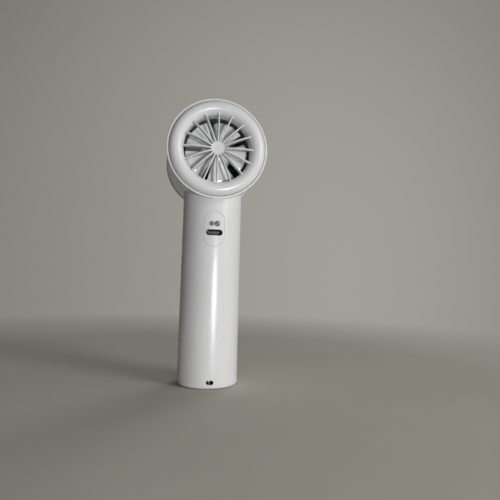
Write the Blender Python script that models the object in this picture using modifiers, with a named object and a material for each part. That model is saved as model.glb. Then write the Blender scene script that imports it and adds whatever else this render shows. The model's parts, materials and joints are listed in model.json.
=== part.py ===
"""Handheld turbine fan: a round upright handle that carries a short drum lying on its side.

The fan stands on its base with +Z up the handle. Air enters at the -Y end of the drum and
leaves at the +Y end. Sizes below are millimetres; helpers turn them into metres.
Pieces of the head are made in the head's own frame: x to the right, y up, z out of the intake.
"""
import math

import bmesh
import bpy
from mathutils import Matrix, Vector

MM = 0.001
GAP = 0.3                      # clearance between neighbouring pieces

# Overall sizes
HEIGHT = 156.6
DRUM_RADIUS = 26.85            # drum wall
LIP_RADIUS = 27.3              # raised rim at both ends of the drum
HEAD_Z = HEIGHT - LIP_RADIUS   # height of the fan's axis
LIP_FACE = 20.7                # rim plane, from the handle's axis
REACH = 23.6                   # farthest point of the intake fins and of the outlet ring
BOLT_ANGLES = (45, 135, 225, 315)

# Handle
HANDLE_RADIUS = 16.96          # at the base
HANDLE_TAPER = 0.0215          # radius lost for each unit of height, as a share of HANDLE_RADIUS / 100
HANDLE_TOP = 112.0             # where the handle's tube ends inside the drum
BASE_FILLET = 1.5
BORE_RADIUS = 14.8

# Drum inside
DRUM_BORE = 26.3
WEB_HALF = 1.0                 # half thickness of the web that carries the duct
WEB_RADIUS = 20.6

# Intake and outlet rings: a rounded nose of NOSE_RADIUS around NOSE_CENTRE
NOSE_CENTRE = 22.3
NOSE_RADIUS = 4.0
NOSE_WALL = 1.4
RING_OUTER = 26.0
SKIRT_END = 16.5
FIN_COUNT = 16
FIN_THICK = 0.75
FIN_DEPTH = 3.4
FIN_END = 19.6                 # fins end inside the ring's wall
FIN_END_FACE = 21.9
HUB_RADIUS = 3.8
HUB_FACE = 21.5
HUB_DEPTH = 5.0
RIB_COUNT = 12

# Duct and motor
DUCT_INNER = 18.6
DUCT_OUTER = 20.0
DUCT_FRONT = 12.8
DUCT_REAR = -17.5
FLANGE_RADIUS = 25.6
FLANGE_FRONT = -1.3
FLANGE_REAR = -3.0
BOLT_CIRCLE = 23.2
MOTOR_RADIUS = 9.6             # impeller hub and motor cup
CUP_INNER = 8.6
CUP_FRONT = -3.4
CUP_REAR = -14.6
CUP_WEB_FRONT = -5.5
CUP_WEB_REAR = -7.5
HUB_DOME = ((0, 14.4), (4.8, 14.0), (7.3, 12.9), (8.7, 11.2), (9.3, 8.4), (MOTOR_RADIUS, 4.0))
HUB_REAR = -3.0
HUB_WALL_TOP = 5.6             # the hub is hollow from its rear up to here
VANE_COUNT = 9
VANE_FRONT = -5.4
VANE_REAR = -13.2
VANE_WRAP = -32                # degrees from front edge to rear edge
VANE_THICK = 1.1
BLADE_COUNT = 5
BLADE_TIP = 17.1
BLADE_THICK = 1.0
BLADE_FRONT = 12.3
BLADE_REAR = -2.4
BLADE_WRAP = 60
BLADE_BOW = 17                 # degrees that a blade's middle stands ahead of its edges
BLADE_CURVE = 4.0              # above 1, a blade starts shallow and steepens towards its rear edge
BLADE_ROOT = 3.4               # how much nearer the axis a blade's front edge starts
BLADE_ROOT_CURVE = 1.6         # how quickly that fades towards the rear edge
BLADE_PHASE = -4               # resting angle of the first blade
SHAFT_RADIUS = 1.0
MOTOR_SCREW_CIRCLE = 6.0

# Port, lights and button
PORT_Z = 84.0
PORT_WIDTH = 9.2
PORT_HEIGHT = 3.3
LIGHT_Z = 88.8
LIGHTS = (("left", -1.6, 1.2), ("right", 1.4, 1.45))
PANEL_Z = 86.0
PANEL_WIDTH = 11.1
PANEL_HEIGHT = 19.4
PANEL_INNER = 15.3             # radius of the panel's back
BUTTON_Z = 88.0
BUTTON_RADIUS = 4.5
BEZEL_RADIUS = 6.0
BUTTON_FACE = 16.9

# Boards and battery
BOARD_BOTTOM = 81.9
BOARD_TOP = 100.0
BOARD_HALF = 10.8
MAIN_FRONT = -8.6
MAIN_REAR = -7.4
KEY_FRONT = 7.3
KEY_REAR = 8.5
POST_INNER = 8.2
BOARD_SCREW_X = 9.5
BOARD_SCREW_Z = 97.5
CELL_RADIUS = 10.6
CELL_BOTTOM = 9.1
CELL_TOP = 79.3
CARRIER_RADIUS = 14.4
CARRIER_BOTTOM = 6.6
CARRIER_TOP = 81.5
PLATE = 1.4

# Base
CAP_RADIUS = 14.5
CAP_PLATE = 1.9
CAP_TOP = 6.2
BASE_SCREW_X = 9.0
SLOT_Z = 3.5
SLOT_WIDTH = 4.1
SLOT_HEIGHT = 2.4

HEAD = Matrix.Translation((0, 0, HEAD_Z * MM)) @ Matrix.Rotation(math.radians(90), 4, "X")
OUTLET = Matrix.Translation((0, 0, HEAD_Z * MM)) @ Matrix.Rotation(math.radians(-90), 4, "X")


# ---------------------------------------------------------------- helpers

def clear_scene():
    for obj in list(bpy.data.objects):
        bpy.data.objects.remove(obj, do_unlink=True)


def new_collection(name):
    collection = bpy.data.collections.new(name)
    bpy.context.scene.collection.children.link(collection)
    return collection


def material(name, colour, roughness, metallic=0.0, transmission=0.0):
    mat = bpy.data.materials.new(name)
    mat.use_nodes = True
    shader = mat.node_tree.nodes["Principled BSDF"]
    shader.inputs["Base Color"].default_value = (*colour, 1.0)
    shader.inputs["Roughness"].default_value = roughness
    shader.inputs["Metallic"].default_value = metallic
    shader.inputs["Transmission Weight"].default_value = transmission
    return mat


def add(name, data, place, mat=None):
    """Put data in the scene. With no material it is a cutter or a block to be joined."""
    obj = bpy.data.objects.new(name, data)
    obj.matrix_world = place
    if mat is None:
        CUTTERS.objects.link(obj)
        obj.hide_render = True
        obj.display_type = "WIRE"
    else:
        FAN.objects.link(obj)
        data.materials.append(mat)
    return obj


def at(x=0.0, y=0.0, z=0.0, turn=0.0, axis="Z"):
    """A placement in millimetres, turned by degrees about one axis."""
    return Matrix.Translation((x * MM, y * MM, z * MM)) @ Matrix.Rotation(math.radians(turn), 4, axis)


def turned(name, profile, place, mat=None, steps=48):
    """Turn a profile of (radius, height) points about the placement's Z axis.

    A profile that starts and ends on the axis stays open; any other is a closed loop.
    """
    area = sum(a[0] * b[1] - b[0] * a[1] for a, b in zip(profile, profile[1:] + profile[:1]))
    points = profile if area < 0 else profile[::-1]
    on_axis = points[0][0] == 0 or points[-1][0] == 0
    if on_axis:
        start = next(i for i, p in enumerate(points) if p[0] == 0 and points[i - 1][0] == 0)
        points = points[start:] + points[:start]
    count = len(points)
    edges = [(i, i + 1) for i in range(count - 1)]
    if not on_axis:
        edges.append((count - 1, 0))
    mesh = bpy.data.meshes.new(name)
    mesh.from_pydata([(r * MM, 0, h * MM) for r, h in points], edges, [])
    obj = add(name, mesh, place, mat)
    screw = obj.modifiers.new("turn", "SCREW")
    screw.axis = "Z"
    screw.steps = steps
    screw.render_steps = steps
    screw.use_merge_vertices = True
    screw.merge_threshold = 1e-6
    screw.use_smooth_shade = True
    return obj


def ring(inner, outer, low, high):
    """Profile of a plain ring, or of a disc when inner is 0."""
    return [(outer, high), (outer, low), (inner, low), (inner, high)]


def arc(centre, radius, start, end, steps):
    """Points of an arc in a profile; angles in degrees."""
    angles = [math.radians(start + (end - start) * i / steps) for i in range(steps + 1)]
    return [(centre[0] + radius * math.cos(a), centre[1] + radius * math.sin(a)) for a in angles]


def mesh_object(name, bm, place, mat=None, smooth=None):
    mesh = bpy.data.meshes.new(name)
    bm.to_mesh(mesh)
    bm.free()
    if smooth is not None:
        mesh.shade_smooth()
        mesh.set_sharp_from_angle(angle=math.radians(smooth))
    return add(name, mesh, place, mat)


def box(name, low, high, place=Matrix(), mat=None, bevel=0.0):
    """A box between two corners in the placement's frame."""
    size = [(b - a) * MM for a, b in zip(low, high)]
    middle = [(a + b) / 2 * MM for a, b in zip(low, high)]
    bm = bmesh.new()
    bmesh.ops.create_cube(bm, size=1.0)
    bmesh.ops.scale(bm, vec=size, verts=bm.verts)
    bmesh.ops.translate(bm, vec=middle, verts=bm.verts)
    obj = mesh_object(name, bm, place, mat)
    if bevel:
        rounding = obj.modifiers.new("edges", "BEVEL")
        rounding.width = bevel * MM
        rounding.segments = 2
    return obj


def rod(name, radius, low, high, place=Matrix(), mat=None, sides=24):
    """A cylinder from low to high along the placement's Z axis."""
    bm = bmesh.new()
    bmesh.ops.create_cone(bm, cap_ends=True, segments=sides, depth=(high - low) * MM,
                          radius1=radius * MM, radius2=radius * MM)
    bmesh.ops.translate(bm, vec=(0, 0, (low + high) / 2 * MM), verts=bm.verts)
    return mesh_object(name, bm, place, mat, smooth=40)


def curve_to_mesh(curve_object):
    """The curve's evaluated shape as a mesh with its loose caps welded on."""
    graph = bpy.context.evaluated_depsgraph_get()
    mesh = bpy.data.meshes.new_from_object(curve_object.evaluated_get(graph))
    bm = bmesh.new()
    bm.from_mesh(mesh)
    bmesh.ops.remove_doubles(bm, verts=bm.verts, dist=1e-7)
    bmesh.ops.recalc_face_normals(bm, faces=bm.faces)
    bm.to_mesh(mesh)
    bm.free()
    return mesh


def plate(name, outlines, low, high, place=Matrix(), mat=None):
    """A flat outline, with further outlines as its holes, between two heights."""
    curve = bpy.data.curves.new(name + "_outline", "CURVE")
    curve.dimensions = "2D"
    curve.fill_mode = "BOTH"
    curve.extrude = (high - low) / 2 * MM
    for outline in outlines:
        spline = curve.splines.new("POLY")
        spline.points.add(len(outline) - 1)
        spline.use_cyclic_u = True
        for point, (x, y) in zip(spline.points, outline):
            point.co = (x * MM, y * MM, 0, 1)
    guide = bpy.data.objects.new(name + "_outline", curve)
    bpy.context.scene.collection.objects.link(guide)
    mesh = curve_to_mesh(guide)
    bpy.data.objects.remove(guide, do_unlink=True)
    mesh.name = name
    mesh.transform(Matrix.Translation((0, 0, (low + high) / 2 * MM)))
    mesh.materials.clear()
    return add(name, mesh, place, mat)


def circle(x, y, radius, sides=24):
    turns = [2 * math.pi * i / sides for i in range(sides)]
    return [(x + radius * math.cos(t), y + radius * math.sin(t)) for t in turns]


def stadium(width, height, steps=8):
    """Outline with half-round ends on its longer sides, around the origin."""
    radius = min(width, height) / 2
    if height > width:
        half = height / 2 - radius
        return arc((0, half), radius, 0, 180, steps) + arc((0, -half), radius, 180, 360, steps)
    half = width / 2 - radius
    return arc((half, 0), radius, -90, 90, steps) + arc((-half, 0), radius, 90, 270, steps)


def boolean(target, operation, *others, flat=False):
    """Join or cut with each of the others in turn; flat first splits bent faces into triangles."""
    for other in others:
        if flat:
            target.modifiers.new("flat_faces", "TRIANGULATE")
        step = target.modifiers.new(operation.lower() + "_" + other.name, "BOOLEAN")
        step.operation = operation
        step.object = other
        step.solver = "EXACT"


def cut(target, *others, flat=False):
    boolean(target, "DIFFERENCE", *others, flat=flat)


def join(target, *others):
    boolean(target, "UNION", *others)


def smooth_route(points, steps):
    """Catmull-Rom curve through the route's points."""
    padded = [points[0]] + points + [points[-1]]
    route = []
    for before, start, end, after in zip(padded, padded[1:], padded[2:], padded[3:]):
        before, start, end, after = (Vector(p) for p in (before, start, end, after))
        for i in range(steps):
            t = i / steps
            route.append(0.5 * (2 * start + (end - before) * t
                                + (2 * before - 5 * start + 4 * end - after) * t ** 2
                                + (3 * start - before - 3 * end + after) * t ** 3))
    return route + [Vector(points[-1])]


def wire(name, points, radius, mat, steps=3):
    """A lead held along its whole route; points in millimetres."""
    route = smooth_route(points, steps)
    curve = bpy.data.curves.new(name, "CURVE")
    curve.dimensions = "3D"
    curve.bevel_depth = radius * MM
    curve.bevel_resolution = 2
    curve.use_fill_caps = True
    spline = curve.splines.new("POLY")
    spline.points.add(len(route) - 1)
    for point, where in zip(spline.points, route):
        point.co = (*(where * MM), 1)
    return add(name, curve, Matrix(), mat)


def blade_solid(name, roots, place, wrap, front, rear, thick, steps=(4, 6), bow=0.0, curve=1.0, root=0.0):
    """One helical blade around the head's axis, from the first to the last radius of roots."""
    bm = bmesh.new()
    bmesh.ops.create_grid(bm, x_segments=steps[0], y_segments=steps[1], size=0.5)
    for vert in bm.verts:
        along, chord = vert.co.x + 0.5, vert.co.y + 0.5
        inner = roots[0] - root * (1 - chord) ** BLADE_ROOT_CURVE
        radius = inner + (roots[1] - inner) * along
        turn = math.radians(place + wrap * (chord - 0.5) + bow * math.sin(math.pi * chord))
        height = front + (rear - front) * chord ** curve
        vert.co = (radius * math.cos(turn) * MM, radius * math.sin(turn) * MM, height * MM)
    blade = mesh_object(name, bm, HEAD, smooth=60)
    skin = blade.modifiers.new("thickness", "SOLIDIFY")
    skin.thickness = thick * MM
    skin.offset = 0
    return blade


def screw_piece(name, place, mat, head=1.9, head_high=0.7, shank=0.8, length=5.0):
    """A pan-head screw, point up the placement's Z axis, with the head's face at z = 0."""
    profile = [(0, 0), (head, 0), (head, head_high), (shank, head_high), (shank, length - 0.6),
               (0, length)]
    return turned(name, profile, place, mat, steps=10)


def handle_radius(height):
    return HANDLE_RADIUS * (1 - HANDLE_TAPER * height / 100)


# ---------------------------------------------------------------- housing and covers

def make_housing():
    """One moulding: the handle's tube and the drum, open at both ends and at the base."""
    fillet = arc((HANDLE_RADIUS - BASE_FILLET, BASE_FILLET), BASE_FILLET, 0, -90, 5)
    outside = [(0, HANDLE_TOP), (handle_radius(HANDLE_TOP), HANDLE_TOP)] + fillet + [(0, 0)]
    housing = turned("main_housing", outside, Matrix(), WHITE, steps=40)

    step = LIP_FACE - 1.1
    half = [(LIP_RADIUS, LIP_FACE), (LIP_RADIUS, step), (DRUM_RADIUS, step - 0.5)]
    drum_outline = [(0, LIP_FACE)] + half + [(r, -h) for r, h in reversed(half)] + [(0, -LIP_FACE)]
    drum = turned("drum_block", drum_outline, HEAD, steps=48)
    past = LIP_FACE + 1
    bore_outline = [(0, past), (DRUM_BORE, past), (DRUM_BORE, WEB_HALF), (WEB_RADIUS, WEB_HALF),
                    (WEB_RADIUS, -WEB_HALF), (DRUM_BORE, -WEB_HALF), (DRUM_BORE, -past), (0, -past)]
    drum_bore = turned("drum_bore", bore_outline, HEAD, steps=48)
    handle_bore = rod("handle_bore", BORE_RADIUS, -1, HEAD_Z - WEB_RADIUS - 2.5, at(turn=2.3), sides=40)
    join(housing, drum)
    cut(housing, drum_bore, handle_bore, flat=True)

    front = at(0, 0, PANEL_Z, 90, "X")
    window = plate("panel_window", [stadium(PANEL_WIDTH + 2 * GAP, PANEL_HEIGHT + 2 * GAP)],
                   BORE_RADIUS - 4, HANDLE_RADIUS + 2, front)
    button_hole = rod("button_hole", BEZEL_RADIUS + GAP, BORE_RADIUS - 4, HANDLE_RADIUS + 2,
                      at(0, 0, BUTTON_Z, -90, "X") @ at(turn=3.7), sides=26)
    slot = plate("lanyard_slot", [stadium(SLOT_WIDTH, SLOT_HEIGHT, 6)], BORE_RADIUS - 4,
                 HANDLE_RADIUS + 2, at(0, 0, SLOT_Z, 90, "X"))
    cut(housing, window, button_hole, slot, flat=True)
    for angle in BOLT_ANGLES:
        spot = polar(BOLT_CIRCLE, angle)
        pilot = rod(f"web_pilot_{angle}", 1.1, -WEB_HALF - 1, WEB_HALF + 1, HEAD @ at(*spot), sides=8)
        cut(housing, pilot, flat=True)


def polar(radius, angle):
    turn = math.radians(angle)
    return radius * math.cos(turn), radius * math.sin(turn)


def nose_profile(crest):
    """Section of an end ring: outer skirt, rounded nose with its highest point at crest, throat."""
    centre = (NOSE_CENTRE, crest - NOSE_RADIUS)
    start = math.degrees(math.acos((RING_OUTER - NOSE_CENTRE) / NOSE_RADIUS))
    inside = NOSE_RADIUS - NOSE_WALL
    tube_end = DUCT_FRONT + 1.8 if crest < REACH else -DUCT_REAR + GAP
    section = [(RING_OUTER, SKIRT_END)] + arc(centre, NOSE_RADIUS, start, 180, 9)
    section += [(NOSE_CENTRE - NOSE_RADIUS, tube_end), (NOSE_CENTRE - inside, tube_end)]
    section += arc(centre, inside, 180, 0, 5) + [(NOSE_CENTRE + inside, SKIRT_END)]
    return section[::-1]


def fin_outline():
    """Side view of an intake fin: radius along x, height out of the intake along y."""
    start, steps = 2.6, 5
    rise = REACH - HUB_FACE
    front, back = [], []
    for i in range(steps + 1):
        t = i / steps
        radius = start + (FIN_END - start) * t
        chord = HUB_FACE - 0.3 + (FIN_END_FACE - HUB_FACE + 0.3) * t
        arch = (rise + 0.1) * math.sin(math.pi * t) ** 0.9
        front.append((radius, chord + arch * 0.95))
        back.append((radius, chord + arch * 0.95 - FIN_DEPTH - 1.2 * (1 - t)))
    return front + back[::-1]


def make_intake_cover():
    """Rounded intake ring with its guard of radial fins and their hub, in one moulding."""
    crest = REACH - 0.4
    cover = turned("intake_cover", nose_profile(crest), HEAD, WHITE, steps=40)
    hub_outline = [(0, HUB_FACE), (HUB_RADIUS - 0.4, HUB_FACE), (HUB_RADIUS, HUB_FACE - 0.4),
                   (HUB_RADIUS, HUB_FACE - HUB_DEPTH), (0, HUB_FACE - HUB_DEPTH)]
    hub = turned("guard_hub", hub_outline, HEAD @ at(turn=3.1), steps=24)
    fins = []
    for i in range(FIN_COUNT):
        turn = HEAD @ at(turn=360 * i / FIN_COUNT) @ at(turn=90, axis="X")
        fins.append(plate(f"fin_{i + 1}", [fin_outline()], -FIN_THICK / 2, FIN_THICK / 2, turn))
    join(hub, *fins)
    join(cover, hub)


def make_outlet_cover():
    """Rounded outlet ring with straight ribs and the tail cone that covers the motor's cup."""
    cover = turned("outlet_cover", nose_profile(REACH), OUTLET, WHITE, steps=40)
    face = REACH - 1.8
    cone_outline = ([(0, face)] + arc((MOTOR_RADIUS - 3.4, face - 3), 3, 90, 0, 4)
                    + [(MOTOR_RADIUS - 0.4, face - 3.6), (0, face - 3.6)])
    cone = turned("tail_cone", cone_outline, OUTLET @ at(turn=1.3), steps=32)
    ribs = []
    for i in range(RIB_COUNT):
        ribs.append(box(f"rib_{i + 1}", (MOTOR_RADIUS - 2, -0.5, face - 2.8), (FIN_END, 0.5, face - 0.2),
                        OUTLET @ at(turn=360 * i / RIB_COUNT)))
    join(cone, *ribs)
    join(cover, cone)


def make_port_panel():
    """Capsule-shaped insert around the port and the lights, flush with the handle."""
    low, high = PANEL_Z - PANEL_HEIGHT, PANEL_Z + PANEL_HEIGHT
    wall = [(handle_radius(high), high), (handle_radius(low), low), (PANEL_INNER, low), (PANEL_INNER, high)]
    panel = turned("port_panel", wall, Matrix(), WHITE, steps=96)
    front = at(0, 0, PANEL_Z, 90, "X")
    shape = plate("panel_shape", [stadium(PANEL_WIDTH, PANEL_HEIGHT)], BORE_RADIUS - 5,
                  HANDLE_RADIUS + 2, front)
    boolean(panel, "INTERSECT", shape)
    port = plate("port_hole", [stadium(PORT_WIDTH, PORT_HEIGHT, 6)], BORE_RADIUS - 5,
                 HANDLE_RADIUS + 3, at(0, 0, PORT_Z, 90, "X"))
    cut(panel, port, flat=True)
    for side, x, radius in LIGHTS:
        hole = rod(f"light_hole_{side}", radius + GAP, BORE_RADIUS - 5, HANDLE_RADIUS + 3,
                   at(x, 0, LIGHT_Z, 90, "X") @ at(turn=4.7), sides=16)
        cut(panel, hole, flat=True)


def make_base():
    """Base cap with its lanyard pocket, the lanyard bar and the two screws."""
    profile = [(0, 0), (CAP_RADIUS, 0), (CAP_RADIUS, CAP_TOP), (CAP_RADIUS - 1.5, CAP_TOP),
               (CAP_RADIUS - 1.5, CAP_PLATE), (0, CAP_PLATE)]
    cap = turned("base_cap", profile, Matrix(), WHITE, steps=40)
    pocket = box("lanyard_pocket", (-3.2, -CAP_RADIUS - 1, CAP_PLATE), (3.2, -CAP_RADIUS + 3, CAP_TOP + 1))
    cut(cap, pocket)
    for side in (-1, 1):
        place = at(side * BASE_SCREW_X)
        cut(cap, rod(f"base_hole_{side}", 1.2, -1, CAP_PLATE + 1, place, sides=16),
            rod(f"base_recess_{side}", 2.4, -1, 1.15, place, sides=24))
        screw_piece(f"base_screw_{1 if side < 0 else 2}", at(side * BASE_SCREW_X, 0, 0.25), STEEL,
                    head=2.0, head_high=0.6, length=6.6)
    rod("lanyard_bar", 0.75, CAP_PLATE + GAP, CARRIER_BOTTOM - GAP, at(0, -12.7), STEEL, sides=12)


# ---------------------------------------------------------------- air path and motor

def make_duct():
    """Sleeve, guide vanes and motor cup in one moulding, on a flange against the drum's web."""
    sleeve = [(DUCT_OUTER, DUCT_FRONT), (DUCT_OUTER, FLANGE_FRONT), (FLANGE_RADIUS, FLANGE_FRONT),
              (FLANGE_RADIUS, FLANGE_REAR), (DUCT_OUTER, FLANGE_REAR), (DUCT_OUTER, DUCT_REAR),
              (DUCT_INNER, DUCT_REAR), (DUCT_INNER, DUCT_FRONT)]
    duct = turned("duct_stator", sleeve, HEAD, DARK, steps=36)
    cup_outline = [(MOTOR_RADIUS, CUP_FRONT), (MOTOR_RADIUS, CUP_REAR), (CUP_INNER, CUP_REAR),
                   (CUP_INNER, CUP_WEB_REAR), (2.8, CUP_WEB_REAR), (2.8, CUP_WEB_FRONT),
                   (CUP_INNER, CUP_WEB_FRONT), (CUP_INNER, CUP_FRONT)]
    cup = turned("motor_cup", cup_outline, HEAD, steps=32)
    vanes = [blade_solid(f"vane_{i + 1}", (MOTOR_RADIUS - 0.5, DUCT_INNER + 0.7), 360 * i / VANE_COUNT,
                         VANE_WRAP, VANE_FRONT, VANE_REAR, VANE_THICK, steps=(2, 4))
             for i in range(VANE_COUNT)]
    join(duct, cup, *vanes)
    slot = plate("lead_slot", [stadium(5.4, 2.2, 5)], DUCT_INNER - 1, DUCT_OUTER + 1,
                 HEAD @ at(0, 0, -15.9) @ at(turn=90, axis="X"))
    cut(duct, slot)
    for number, angle in enumerate(BOLT_ANGLES, 1):
        spot = polar(BOLT_CIRCLE, angle)
        cut(duct, rod(f"flange_hole_{angle}", 1.1, FLANGE_REAR - 1, FLANGE_FRONT + 1,
                      HEAD @ at(*spot), sides=12))
        screw_piece(f"duct_screw_{number}", HEAD @ at(*spot, FLANGE_REAR - GAP - 0.7), STEEL,
                    length=3.9)
    for number in range(3):
        spot = polar(MOTOR_SCREW_CIRCLE, 120 * number + 90)
        cut(duct, rod(f"motor_hole_{number + 1}", 0.9, CUP_WEB_REAR - 1, CUP_WEB_FRONT + 1,
                      HEAD @ at(*spot), sides=12))
        screw_piece(f"motor_screw_{number + 1}", HEAD @ at(*spot, CUP_WEB_REAR - GAP - 0.6), STEEL,
                    head=1.5, head_high=0.6, shank=0.6, length=3.8)
    turned("intake_seal", ring(DUCT_INNER + 0.1, DUCT_OUTER, DUCT_FRONT + GAP, DUCT_FRONT + 1.5), HEAD,
           RUBBER, steps=32)


def make_rotor():
    """Everything that spins: impeller, bell, magnets, shaft and its clip."""
    outside = [*HUB_DOME, (MOTOR_RADIUS, HUB_REAR)]
    inside = [(CUP_INNER, HUB_REAR), (CUP_INNER, 0), (CUP_INNER - 0.2, HUB_WALL_TOP),
              (SHAFT_RADIUS + GAP, HUB_WALL_TOP), (SHAFT_RADIUS + GAP, 10.4), (0, 10.4)]
    impeller = turned("impeller", outside + inside, HEAD, WHITE, steps=28)
    blades = [blade_solid(f"blade_{i + 1}", (MOTOR_RADIUS - 0.7, BLADE_TIP),
                          360 * i / BLADE_COUNT + BLADE_PHASE, BLADE_WRAP, BLADE_FRONT, BLADE_REAR,
                          BLADE_THICK, bow=BLADE_BOW, curve=BLADE_CURVE, root=BLADE_ROOT)
              for i in range(BLADE_COUNT)]
    join(impeller, *blades)
    bell = [(7.0, 5.0), (8.3, 4.0), (8.3, -2.4), (7.7, -2.4), (7.7, 3.7), (6.8, 4.3), (1.3, 4.3), (1.3, 5.0)]
    turned("rotor_bell", bell, HEAD, STEEL, steps=28)
    turned("magnet_ring", ring(6.6, 7.4, -2.1, 3.4), HEAD, FERRITE, steps=28)
    rod("motor_shaft", SHAFT_RADIUS, -6.4, 10.0, HEAD, STEEL, sides=20)
    turned("shaft_clip", ring(1.3, 2.3, -5.3, -4.8), HEAD, STEEL, steps=16)


def make_motor():
    """The motor's fixed parts, on a base with a bearing tube."""
    base = [(8.2, -4.1), (8.2, -5.2), (2.5, -5.2), (2.5, -4.4), (2.8, -4.1), (2.8, 3.9), (3.3, 3.9),
            (3.3, -4.1)]
    motor_base = turned("motor_base", base, HEAD, BRASS, steps=28)
    for number in range(3):
        spot = polar(MOTOR_SCREW_CIRCLE, 120 * number + 90)
        cut(motor_base, rod(f"base_thread_{number + 1}", 0.9, -6, -3.5, HEAD @ at(*spot), sides=12))
    for name, low in (("bearing_front", 0.9), ("bearing_rear", -3.9)):
        turned(name, ring(1.3, 2.5, low, low + 2.5), HEAD, STEEL, steps=20)
    turned("motor_board", ring(3.6, 8.0, -3.7, -2.9), HEAD, BOARD, steps=28)

    teeth = 6
    outline = []
    for i in range(teeth):
        middle = 360 * i / teeth
        for radius, half in ((4.5, 17), (5.6, 11), (5.7, 22), (6.2, 22)):
            outline.append(polar(radius, middle - half))
        outline.append(polar(6.25, middle))
        for radius, half in ((6.2, 22), (5.7, 22), (5.6, 11), (4.5, 17)):
            outline.append(polar(radius, middle + half))
    plate("stator_core", [outline, circle(0, 0, 3.6, 24)], -1.8, 1.8, HEAD, STEEL)
    for i in range(teeth):
        place = HEAD @ at(turn=360 * i / teeth)
        coil = box(f"stator_coil_{i + 1}", (4.75, -1.95, -2.5), (5.3, 1.95, 2.5), place, COPPER)
        cut(coil, box(f"coil_core_{i + 1}", (4.0, -1.5, -2.1), (6.0, 1.5, 2.1), place))


# ---------------------------------------------------------------- power and controls

def make_port():
    """Charging socket: metal shell on the board with its contact tongue."""
    front = at(0, 0, PORT_Z, 90, "X")
    plate("port_shell", [stadium(8.94, 3.2, 6), stadium(8.34, 2.6, 6)[::-1]], -MAIN_FRONT + GAP, 14.3,
          front, STEEL)
    box("port_tongue", (-3.3, -14.0, PORT_Z - 0.35), (3.3, MAIN_FRONT - GAP, PORT_Z + 0.35), mat=BLACK)


def make_lights():
    """Two charge lights: a chip on the board and a clear rod to the panel for each."""
    for side, x, radius in LIGHTS:
        length = handle_radius(LIGHT_Z) - 0.15
        rod(f"light_pipe_{side}", radius, -MAIN_FRONT + 1.3, length, at(x, 0, LIGHT_Z, 90, "X"), CLEAR)
        box(f"charge_led_{side}", (x - 0.6, MAIN_FRONT - 0.95, LIGHT_Z - 0.5),
            (x + 0.6, MAIN_FRONT - GAP, LIGHT_Z + 0.5), mat=CLEAR)


def make_boards():
    """Main board behind the port and the key board behind the button, on the carrier's posts."""
    main = box("main_board", (-BOARD_HALF, MAIN_FRONT, BOARD_BOTTOM), (BOARD_HALF, MAIN_REAR, BOARD_TOP),
               mat=BOARD)
    key = box("key_board", (-BOARD_HALF, KEY_FRONT, BOARD_BOTTOM), (BOARD_HALF, KEY_REAR, BOARD_TOP),
              mat=BOARD)
    for side in (-1, 1):
        number = 1 if side < 0 else 2
        for board, name, place in (
                (main, "main", at(side * BOARD_SCREW_X, MAIN_FRONT - GAP - 0.6, BOARD_SCREW_Z, -90, "X")),
                (key, "key", at(side * BOARD_SCREW_X, KEY_REAR + GAP + 0.6, BOARD_SCREW_Z, 90, "X"))):
            cut(board, rod(f"{name}_board_hole_{number}", 0.9, -1, 4, place, sides=12))
            screw_piece(f"{name}_board_screw_{number}", place, STEEL, head=1.2, head_high=0.6, shank=0.6,
                        length=4.2)
    back = MAIN_REAR + GAP
    box("controller_chip", (-6.0, back, 88.0), (-1.5, back + 0.9, 92.5), mat=BLACK)
    rod("boost_inductor", 2.6, back, back + 2.6, at(3.6, 0, 94.2, -90, "X"), FERRITE, sides=20)
    rod("storage_capacitor", 1.9, back, back + 4.4, at(4.0, 0, 86.6, -90, "X"), ALUMINIUM, sides=20)


def make_button():
    """Power button in its bezel, over a small key switch."""
    back = at(0, 0, BUTTON_Z, -90, "X")
    bezel = [(4.8, BUTTON_FACE - 0.4), (5.3, BUTTON_FACE), (BEZEL_RADIUS - 0.4, BUTTON_FACE),
             (BEZEL_RADIUS, BUTTON_FACE - 0.4), (BEZEL_RADIUS, 14.6), (4.8, 14.6)]
    turned("button_bezel", bezel, back, GREY, steps=32)
    face = [(0, BUTTON_FACE - 0.35), (2.5, BUTTON_FACE - 0.25), (BUTTON_RADIUS - 0.5, BUTTON_FACE),
            (BUTTON_RADIUS, BUTTON_FACE - 0.4), (BUTTON_RADIUS, 14.3), (5.3, 14.3), (5.3, 13.7),
            (1.5, 13.7), (1.5, 12.9), (0, 12.9)]
    turned("power_button", face, back, WHITE, steps=28)
    rod("key_plunger", 1.0, 11.0, 12.6, back, BLACK, sides=16)
    switch = box("key_switch", (-3, -3, KEY_REAR + GAP), (3, 3, 11.6), back, BLACK)
    cut(switch, rod("plunger_well", 1.3, 10.1, 12, back, sides=16))


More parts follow.
